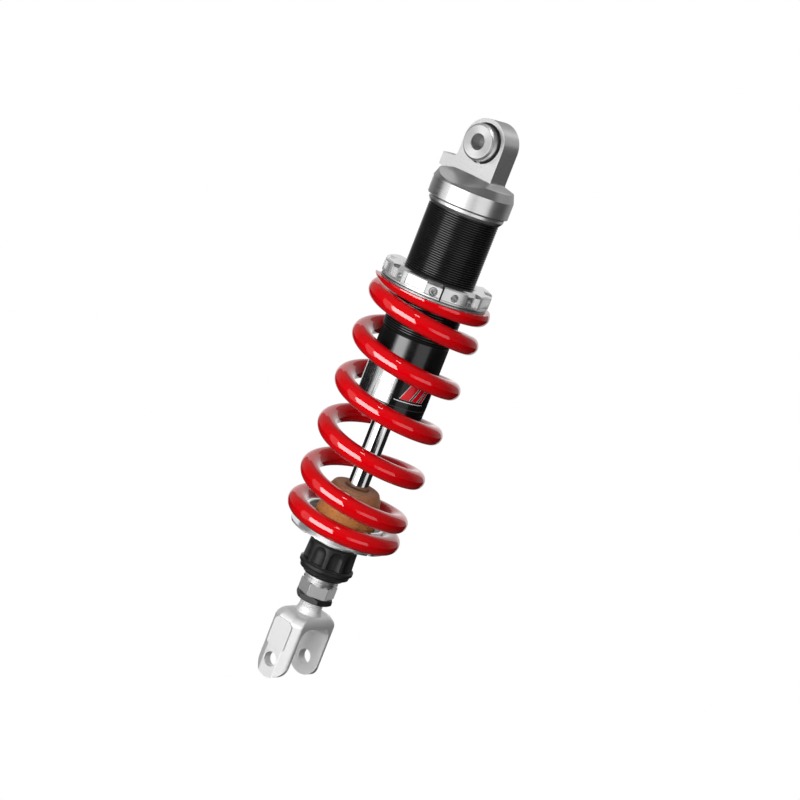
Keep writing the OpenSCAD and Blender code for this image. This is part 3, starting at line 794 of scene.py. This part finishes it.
def make_body():
    """The tube: a true helical thread on its upper part and three grooves near its foot."""
    top, end = high("damper_body"), low("damper_body")
    root = THREAD_R - THREAD_DEPTH
    sides, rows = 128, len(THREAD_SHAPE)
    start = low("top_mount") + 3
    total = sides * (int((start - THREAD_END) / THREAD_PITCH) + 3)

    def thread_vertex(m, s):
        z = start + THREAD_PITCH - THREAD_PITCH * (m / sides + s / rows)
        z = min(max(z, THREAD_END), start)
        fade = min(1.0, (start - z) / THREAD_PITCH, (z - THREAD_END) / THREAD_PITCH)
        radius = root + THREAD_DEPTH * THREAD_SHAPE[s % rows] * fade
        a = 2 * pi * m / sides
        return (radius * cos(a), radius * sin(a), z)

    verts = [thread_vertex(m, s) for m in range(total + 1) for s in range(rows + 1)]
    w = rows + 1
    faces = [(m * w + s, m * w + s + 1, (m + 1) * w + s + 1, (m + 1) * w + s)
             for m in range(total) for s in range(rows)]
    thread = clean(new_object("body_tube", verts, faces), 0.002)
    # The rest of the tube, from the foot of the thread round the bottom and up the bore
    outline = [(root, THREAD_END), (root, THREAD_END - 0.8), (BODY_R, THREAD_END - 1.1)]
    for groove in (10.2, 7.4, 4.6):
        for depth, drop in ((0, 0), (0.4, -0.12), (0.4, -0.72), (0, -0.84)):
            outline.append((BODY_R - depth, end + groove + drop))
    outline += [(BODY_R, end + 1.3), (BODY_R - 0.25, end + 0.5), (BODY_R - 1.2, end),
                (BORE_R + 0.6, end), (BORE_R, end + 0.6), (BORE_R, top), (THREAD_R, top),
                (THREAD_R, start + 0.5), (root, start)]
    tube = lathe("cutter", outline, sides, closed=False)
    body = clean(joined([thread, tube]), 0.003)
    finish_piece(body, "casing", "black_anodised", "damper_body")


def make_label():
    """The printed sleeve round the tube."""
    outline = band(BODY_R, reach("body_label"), low("body_label"), high("body_label"), 0.02, 0.1)
    finish_piece(lathe("label_sleeve", outline, 192), "casing", "label_film", "body_label")


# ---- spring seat and preload ring ----

def make_spring_seat():
    """The seat on the spring, with a thin roller cage and a thrust plate over it."""
    face = high("coil_spring")
    washer, cage = high("thrust_washer"), high("thrust_cage")
    inner, pilot = THREAD_R + 0.4, 27.4
    edge = reach("thrust_washer")
    seat = [(inner, face - 6), (inner + 1.2, face - 7), (pilot - 0.6, face - 7), (pilot, face - 6.2),
            (pilot, face, 0.4), (edge, face, 0.12), (edge, face + 0.4, 0.12), (inner, face + 0.4)]
    roller = band(26, edge - 0.6, face + 0.41, cage - 0.01, 0.05, 0.08)
    plate = band(inner, edge, cage, washer, 0.05, 0.1)
    for name, outline, slot, node in (("upper_seat", seat, "machined_alloy", "spring_seat_top"),
                                      ("roller_cage", roller, "machined_alloy", "thrust_cage"),
                                      ("thrust_plate", plate, "bearing_steel", "thrust_washer")):
        finish_piece(lathe(name, outline, 160), "spring_seat", slot, node)


def make_preload_ring():
    """The castellated clamp ring: eight flats with holes, pockets in the lobes, a split and the lock
    screw's hole, which is at angle 0 until the ring is turned to its place."""
    top, end = high("preload_ring"), low("preload_ring")
    middle = (top + end) / 2
    hole_z = middle - 0.9
    lobe, flat, foot = 37.0, 33.8, 36.2
    out = 48
    step_z = end + 1.4
    inner = THREAD_R + RUN_GAP
    outline = [(inner, end, 0), (foot - 0.6, end, 0), (foot, end + 0.6, 0), (foot, step_z, 0),
               (lobe, step_z + 0.4, 0), (lobe, top - 0.8, 0), (lobe - 1.2, top, 0),
               (inner + 1.6, top, 0), (inner, top - 1.2, 0)]
    ring = lathe("clamp_ring", outline, 160)
    notch = [(flat, step_z, 0), (out, step_z, 0), (out, top + 5, 0), (flat - 3.6, top + 5, 0),
             (flat - 3.6, top, 0), (flat, top - 2.3, 0)]

    def flat_cut():
        return prism("cutter", notch, "Y", -5.7, 5.7)

    def flat_hole(radius=2.1, start=flat - 3, sides=32):
        return drill(radius, (start, 0, hole_z), (out, 0, hole_z), sides)

    def pocket():
        return block((35.2, out), (-6.2, 6.2), (end + 2.6, end + 8.8))

    combine(ring, round_array(flat_cut, 8))
    combine(ring, round_array(flat_hole, 8, skip=(0,)))
    combine(ring, round_array(pocket, 8, start=22.5, skip=(0,)))
    split = block((THREAD_R - 2, out), (-0.4, 0.4), (end - 2, top + 2), 9.1)
    combine(ring, joined([flat_hole(2.9, 27.8, 40), split]))
    lobe_hole = drill(2.6, (28, 0, middle), (out, 0, middle), 40)
    combine(ring, spun(lobe_hole, 22.5))
    spun(ring, SCREW_ANGLE)
    break_edges(ring, 0.3)
    finish_piece(ring, "adjuster_ring", "machined_alloy", "preload_ring")


# ---- coil spring ----

WIRE_R = 6.4
WIRE_SIDES = 36
STEPS_PER_TURN = 96
SPRING_TURNS = 6.85
SPRING_START = 214.5         # where the wire's upper tip lies
OPEN_START, OPEN_EASE = 0.91, 0.4
CLOSE_START, CLOSE_EASE = 5.35, 0.5
SPRING_PITCH = 32.2
TIP_RISE = 2.6               # how far the wire's centre starts above the ground-off top
CUT_TURN = 1.6


def smooth(x):
    c = min(max(x, 0.0), 1.0)
    return c * c * (3 - 2 * c)


def opened(u):
    """How open the coil is at turn u: 0 where turns touch, 1 at full pitch."""
    return smooth((u - OPEN_START) / OPEN_EASE) - smooth((u - CLOSE_START) / CLOSE_EASE)


def spring_tables(count):
    """Turn, fall and summed opening at even steps along the wire."""
    turns = [SPRING_TURNS * i / count for i in range(count + 1)]
    falls, gaps = [0.0], [0.0]
    for a, b in zip(turns, turns[1:]):
        gap = opened((a + b) / 2) * (SPRING_PITCH - 2 * WIRE_R) * (b - a)
        gaps.append(gaps[-1] + gap)
        falls.append(falls[-1] + gap + 2 * WIRE_R * (b - a))
    return turns, falls, gaps


def grind_ends(piece, shares, top, bottom, at_cut):
    """Gives each point its share of the travel, grinds the wire off level with both seats and breaks
    the ground tip's edges, but not those at the cut."""
    b = bmesh.new()
    b.from_mesh(piece.data)
    share = b.verts.layers.float.new("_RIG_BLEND")
    for vert, value in zip(b.verts, shares):
        vert[share] = value
    for height, up in ((top, 1), (bottom, -1)):
        every = list(b.verts) + list(b.edges) + list(b.faces)
        made = bmesh.ops.bisect_plane(b, geom=every, plane_co=(0, 0, height), plane_no=(0, 0, up),
                                      clear_outer=True)
        rim = [e for e in made["geom_cut"] if isinstance(e, bmesh.types.BMEdge)]
        if rim:
            bmesh.ops.contextual_create(b, geom=rim)
    tip = [e for e in b.edges if e.is_manifold and e.calc_face_angle(0) > radians(50)]
    tip = [e for e in tip if ((e.verts[0].co + e.verts[1].co) / 2 - at_cut).length > 2 * WIRE_R]
    bmesh.ops.bevel(b, geom=tip, offset=0.45, segments=3, affect="EDGES", profile=0.5, clamp_overlap=True)
    bmesh.ops.recalc_face_normals(b, faces=b.faces)
    b.to_mesh(piece.data)
    b.free()


def make_spring():
    """One wire in two pieces, cut where the casing holds it still: the upper piece follows the seat
    and the lower one the rod, and each gap closes by the same share of its width."""
    top, bottom = high("coil_spring"), low("coil_spring")
    coil_r = reach("coil_spring") - WIRE_R
    count = round(SPRING_TURNS * STEPS_PER_TURN)
    turns, falls, gaps = spring_tables(count)
    cut = round(CUT_TURN / SPRING_TURNS * count)

    def centre(i):
        a = radians(SPRING_START) + 2 * pi * turns[i]
        return Vector((coil_r * cos(a), coil_r * sin(a), top + TIP_RISE - falls[i]))

    def section(i):
        along = (centre(min(i + 1, count)) - centre(max(i - 1, 0))).normalized()
        out = Vector((centre(i).x, centre(i).y, 0)).normalized()
        over = along.cross(out).normalized()
        out = over.cross(along)
        angles = [2 * pi * k / WIRE_SIDES for k in range(WIRE_SIDES)]
        return [centre(i) + (out * cos(b) + over * sin(b)) * WIRE_R for b in angles]

    for name, first, last, bodies in (("spring_upper", 0, cut, ("spring_seat", "casing")),
                                      ("spring_lower", cut, count, ("casing", "rod"))):
        stations = range(first, last + 1)
        piece = loft(name, [section(i) for i in stations])
        travel = gaps[last] - gaps[first]
        shares = [(gaps[i] - gaps[first]) / travel for i in stations for _ in range(WIRE_SIDES)]
        grind_ends(piece, shares, top, bottom, centre(cut))
        for polygon in piece.data.polygons:
            polygon.use_smooth = True
        piece.data.set_sharp_from_angle(angle=radians(40))
        kept = np.zeros(len(piece.data.vertices), np.float32)
        piece.data.attributes["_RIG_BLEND"].data.foreach_get("value", kept)
        finish_piece(piece, None, "red_powder_coat", "coil_spring", weighted=False)
        piece.visible_glossy = False
        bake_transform(piece, *bodies, (0, 0, top * MM), (0, 0, bottom * MM))
        piece.data.attributes["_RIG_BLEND"].data.foreach_set("value", kept)


# ---- rod, bump stop and lower seat ----

def make_rod():
    """The chromed rod with the needle's bore, and its thin end that carries the piston."""
    end, top = low("damper_rod"), high("damper_rod")
    shoulder, jet_end = top - 30, top - 14
    bore, jet, neck = 2.0, 1.4, 5
    outline = [(bore, end, 0), (ROD_R, end), (ROD_R, shoulder), (neck, shoulder, 0.2), (neck, top, 0.3),
               (jet, top, 0), (jet, jet_end, 0), (bore, jet_end, 0)]
    finish_piece(lathe("chromed_rod", outline), "rod", "rod_chrome", "damper_rod")


def make_bump_stop():
    """Foam bumper: a cone over a necked ring, very slightly out of round as moulded foam is."""
    foot = low("bump_stop")
    tip = foot + 28.8
    outline = [(ROD_R, foot, 0), (19.6, foot, 1.2), (21.2, foot + 1.8, 1.6), (21.2, foot + 7.8, 1.8),
               (19.4, foot + 10.4, 1.2), (18.2, foot + 11.8, 1.4), (18.9, foot + 13.6, 1.0),
               (19.1, foot + 20.2, 4), (18.4, foot + 23.6, 3), (15.9, tip - 0.4, 1.2),
               (15.2, tip, 0.5), (ROD_R + 2, tip, 0.8), (ROD_R, tip - 2, 0)]
    bumper = lathe("foam_bumper", outline, 192, steps=8)
    for v in bumper.data.vertices:
        angle, radius = atan2(v.co.y, v.co.x), hypot(v.co.x, v.co.y)
        if radius > ROD_R + 4:
            sag = 0.10 * sin(3 * angle + 0.7) + 0.07 * sin(7 * angle + 2.1) * sin(v.co.z * 0.4)
            v.co.x += sag * cos(angle)
            v.co.y += sag * sin(angle)
    finish_piece(bumper, "rod", "bump_foam", "bump_stop")


def make_lower_seat():
    """The slit spring plate, with its pilot rim inside the coil and notches under its edge."""
    face, rim = low("coil_spring"), high("spring_seat_lower")
    edge, pilot, pilot_in = 34, 27.4, 25.3
    inner = ROD_R + RUN_GAP
    slit = -11.5
    outline = [(inner, face - 2.2, 0), (10, face - 2.2, 0), (16.4, face - 3.2, 0),
               (22, face - 2.6, 0), (31, face - 1.7, 0), (33.4, face - 1.5, 0),
               (edge, face - 1.2, 0), (edge, face, 0), (pilot, face, 0), (pilot, rim - 0.6, 0),
               (pilot - 0.5, rim, 0), (pilot_in + 0.5, rim, 0), (pilot_in, rim - 0.6, 0),
               (pilot_in, face + 4.8, 0), (23, face + 3.2, 0), (inner, face + 3.2, 0)]
    seat = lathe("lower_seat", outline, 160)
    cuts = [block((ROD_R + 8, 45), (-1.5, 1.5), (face - 15, rim + 5), slit)]
    cuts += [block((31.6, 45), (-4, 4), (face - 15, face - 0.7), slit + a) for a in range(35, 336, 50)]
    combine(seat, joined(cuts))
    break_edges(seat, 0.35)
    finish_piece(seat, "rod", "machined_alloy", "spring_seat_lower")


def make_hub():
    """The hub under the spring plate, with six notches round its foot."""
    end, start = low("seat_hub"), high("seat_hub")
    hub_r, counterbore = 16.8, ROD_R + 2
    outline = [(counterbore, end, 0), (hub_r - 0.4, end, 0), (hub_r, end + 0.6, 0),
               (hub_r, start - 1.8, 0), (hub_r - 0.4, start - 1, 0), (10, start, 0),
               (ROD_R, start, 0), (ROD_R, start - 1.6, 0), (counterbore, start - 1.6, 0)]
    hub = lathe("hub", outline, 144)
    combine(hub, round_array(lambda: block((15.2, 22), (-2, 2), (end - 3, end + 2)), 6, start=20))
    break_edges(hub, 0.25)
    finish_piece(hub, "rod", "machined_alloy", "seat_hub")


def make_bump_washer():
    outline = band(ROD_R, reach("bump_washer"), low("bump_washer"), high("bump_washer"), 0.1, EDGE)
    finish_piece(lathe("bump_plate", outline, 144), "rod", "machined_alloy", "bump_washer")


# ---- rebound knob, rod end and locknut ----

JOURNAL_R = 12.0
STEM_R = 8.0


def hexagon(name, corner_r, z_low, z_high, turn, chamfer_r, drop):
    """A six-sided nut or head whose corners are turned off by a cone at both ends."""
    angles = [radians(turn + 60 * i) for i in range(6)]
    corners = [(corner_r * cos(a), corner_r * sin(a), 0.35) for a in angles]
    nut = prism(name, corners, "Z", z_low, z_high, 3)
    outline = [(0, z_low, 0), (chamfer_r, z_low, 0), (corner_r, z_low + drop, 0),
               (corner_r, z_high - drop, 0), (chamfer_r, z_high, 0), (0, z_high, 0)]
    cone = lathe("cutter", outline, 96)
    return combine(nut, cone, "INTERSECT")


def make_rod_end():
    """Grooved journal for the knob, over a hexagon that holds the clevis."""
    end, top = low("rod_end"), high("rod_end")
    hex_top = end + 8.9
    groove = hex_top + 2.6
    root = JOURNAL_R - 0.6
    head = hexagon("rod_end_fitting", 12.7, end, hex_top, 40.7, 11.9, 0.5)
    outline = [(0, hex_top - 1, 0), (root, hex_top - 1, 0), (root, hex_top + 0.7, 0),
               (JOURNAL_R, hex_top + 1.0, 0), (JOURNAL_R, groove, 0), (root, groove + 0.15, 0),
               (root, groove + 0.7, 0), (JOURNAL_R, groove + 0.85, 0),
               (JOURNAL_R, low("seat_hub"), 0), (9, low("seat_hub"), 0), (9, top, 0), (0, top, 0)]
    post = lathe("cutter", outline)
    fitting = combine(head, post, "UNION")
    combine(fitting, drill(STEM_R + RUN_GAP, (0, 0, end - 1), (0, 0, hex_top + 8.6)))
    combine(fitting, drill(ROD_R, (0, 0, low("damper_rod")), (0, 0, top + 1)))
    pin_slot = (low("cross_pin") - 1.3, high("cross_pin") + 1.3)
    combine(fitting, block((-14, 14), (-1.6, 1.6), pin_slot))
    break_edges(fitting, 0.22)
    finish_piece(fitting, "rod", "machined_alloy", "rod_end")


def make_jam_nut():
    end, top = low("jam_nut"), high("jam_nut")
    nut = hexagon("locknut", 13.2, end, top, 20, 11.6, 1.1)
    combine(nut, drill(STEM_R + RUN_GAP, (0, 0, end - 1), (0, 0, top + 1)))
    break_edges(nut, 0.25)
    finish_piece(nut, "rod", "black_steel", "jam_nut")


def make_knob():
    """Fluted grip over a thin lip and a stepped skirt."""
    top, end = high("rebound_knob"), low("rebound_knob")
    inner, lip, skirt = JOURNAL_R + RUN_GAP, reach("rebound_knob"), 17.2
    outline = [(inner, top, 0), (15.6, top, 0), (16.6, top - 1.2, 0), (17.4, end + 8.8, 0),
               (lip, end + 7.8, 0), (lip, end + 6.0, 0), (skirt, end + 5.4, 0),
               (16.8, end + 4.8, 0), (17.4, end + 4.2, 0), (skirt, end + 2.6, 0),
               (15.4, end + 1.6, 0), (14.6, end + 1.2, 0), (14, end, 0), (inner, end, 0)]
    knob = lathe("knob_grip", outline, 180)
    count, flute_r, flute_foot = 9, 7.2, end + 9.0
    dome = arc((0, flute_foot + 8.4), flute_r, 0, 90, 12)
    capsule = [(0, flute_foot, 0), (flute_r, flute_foot, 0), *dome]

    def flute():
        obj = lathe("cutter", capsule, 64)
        obj.data.transform(Matrix.Translation((22.0, 0, 0)))
        return obj

    combine(knob, round_array(flute, count, start=SCREW_ANGLE + 180 / count - 3.5))
    break_edges(knob, 0.4, 3, 25)
    finish_piece(knob, "knob", "black_plastic", "rebound_knob")


# ---- clevis ----

# Heights in the fork are measured from the lower bolt.
CLEVIS_GAP = 30.0
CHEEK_T = 6.5
FORK_TOP = 34.8
FORK_ROOF = 27.4
PAD_T = 0.8
STEM_PITCH = 1.25


def stem_outline(top):
    """Half outline of the neck above the fork and the threaded stem on it."""
    outline = [(0, FORK_TOP - 4, 0), (9.6, FORK_TOP - 4, 0), (9.6, FORK_TOP - 0.6, 0),
               (9.1, FORK_TOP + 0.5, 0), (8.6, FORK_TOP + 1.5, 0), (8.2, FORK_TOP + 2.6, 0),
               (STEM_R, FORK_TOP + 3.8, 0)]
    z = FORK_TOP + 4.2
    while z < FORK_TOP + 12:
        outline += [(STEM_R, z, 0), (STEM_R - 0.45, z + STEM_PITCH / 2, 0)]
        z += STEM_PITCH
    return outline + [(STEM_R, z, 0), (STEM_R, top - 1, 0), (STEM_R - 1, top, 0), (0, top, 0)]


def make_clevis():
    """The fork: two beveled cheeks with raised pads, cross-bored, under a threaded stem."""
    edge = reach("clevis")
    clevis_z = low("clevis") + edge
    gap = CLEVIS_GAP / 2
    half = gap + CHEEK_T
    face, fall, corner = 6.2, 3.9, 2.5

    def section(x_in, y_in, z):
        """Plan of the fork at one height: two flat faces, slanted corners and flat edges."""
        x, flat, y = edge - x_in, face - x_in, half - y_in
        corners = [(flat, -y), (x, fall - y), (x, y - fall), (flat, y),
                   (-flat, y), (-x, y - fall), (-x, fall - y), (-flat, -y)]
        return [(*p, z) for p in rounded([(*c, corner) for c in corners])]

    # Straight sides, then a top rim that rolls in
    levels = [(0, 0, -FAR)]
    for t in (i * pi / 20 for i in range(11)):
        levels.append((4 * (1 - cos(t)), 8 * (1 - cos(t)), FORK_TOP - 7 * (1 - sin(t))))
    cheeks = clean(loft("fork", [section(*level) for level in levels]))
    above = FORK_TOP + 5
    outline = [*arc((0, 0), edge, 180, 360, 40), (edge + 1, above, 0), (-edge - 1, above, 0)]
    combine(cheeks, prism("cutter", outline, "Y", -FAR, FAR), "INTERSECT")
    jaw = [(-gap, -30, 0), (gap, -30, 0), (gap, FORK_ROOF, 8), (-gap, FORK_ROOF, 8)]
    combine(cheeks, prism("cutter", jaw, "X", -30, 30, 10))
    pad = [(-7.6, 9.6, 0.8), (7.6, 9.6, 0.8), (7.6, 29.4, 3.4), (-7.6, 29.4, 3.4)]
    for side in (-1, 1):
        ends = sorted((side * (half - 2.6), side * (half + PAD_T)))
        combine(cheeks, prism("cutter", pad, "Y", *ends, 5), "UNION")
    stem = lathe("cutter", stem_outline(high("clevis") - clevis_z), 96)
    fork = combine(cheeks, stem, "UNION")
    combine(fork, drill(BOLT_R, (0, -FAR, 0), (0, FAR, 0), 96))
    fork.data.transform(Matrix.Translation((0, 0, clevis_z)))
    break_edges(fork, 0.7, 3, 40)
    finish_piece(fork, "lower_fork", "blasted_alloy", "clevis")


# ---- scene ----

bpy.context.scene.view_settings.view_transform = "Standard"
make_camera()
LIT_GROUPS = make_lights()
make_world()
make_floor()
LOOKS = make_looks()
for entry in frame["record"]["subparts"]:
    mesh = frame["nodes"][entry["node"]].data
    mesh.materials.clear()
    mesh.materials.append(LOOKS[entry["material_slot"]])

for make in (make_top_mount, make_collars, make_body, make_label, make_spring_seat, make_preload_ring,
             make_spring, make_rod, make_bump_stop, make_lower_seat, make_hub, make_bump_washer,
             make_rod_end, make_jam_nut, make_knob, make_clevis):
    make()
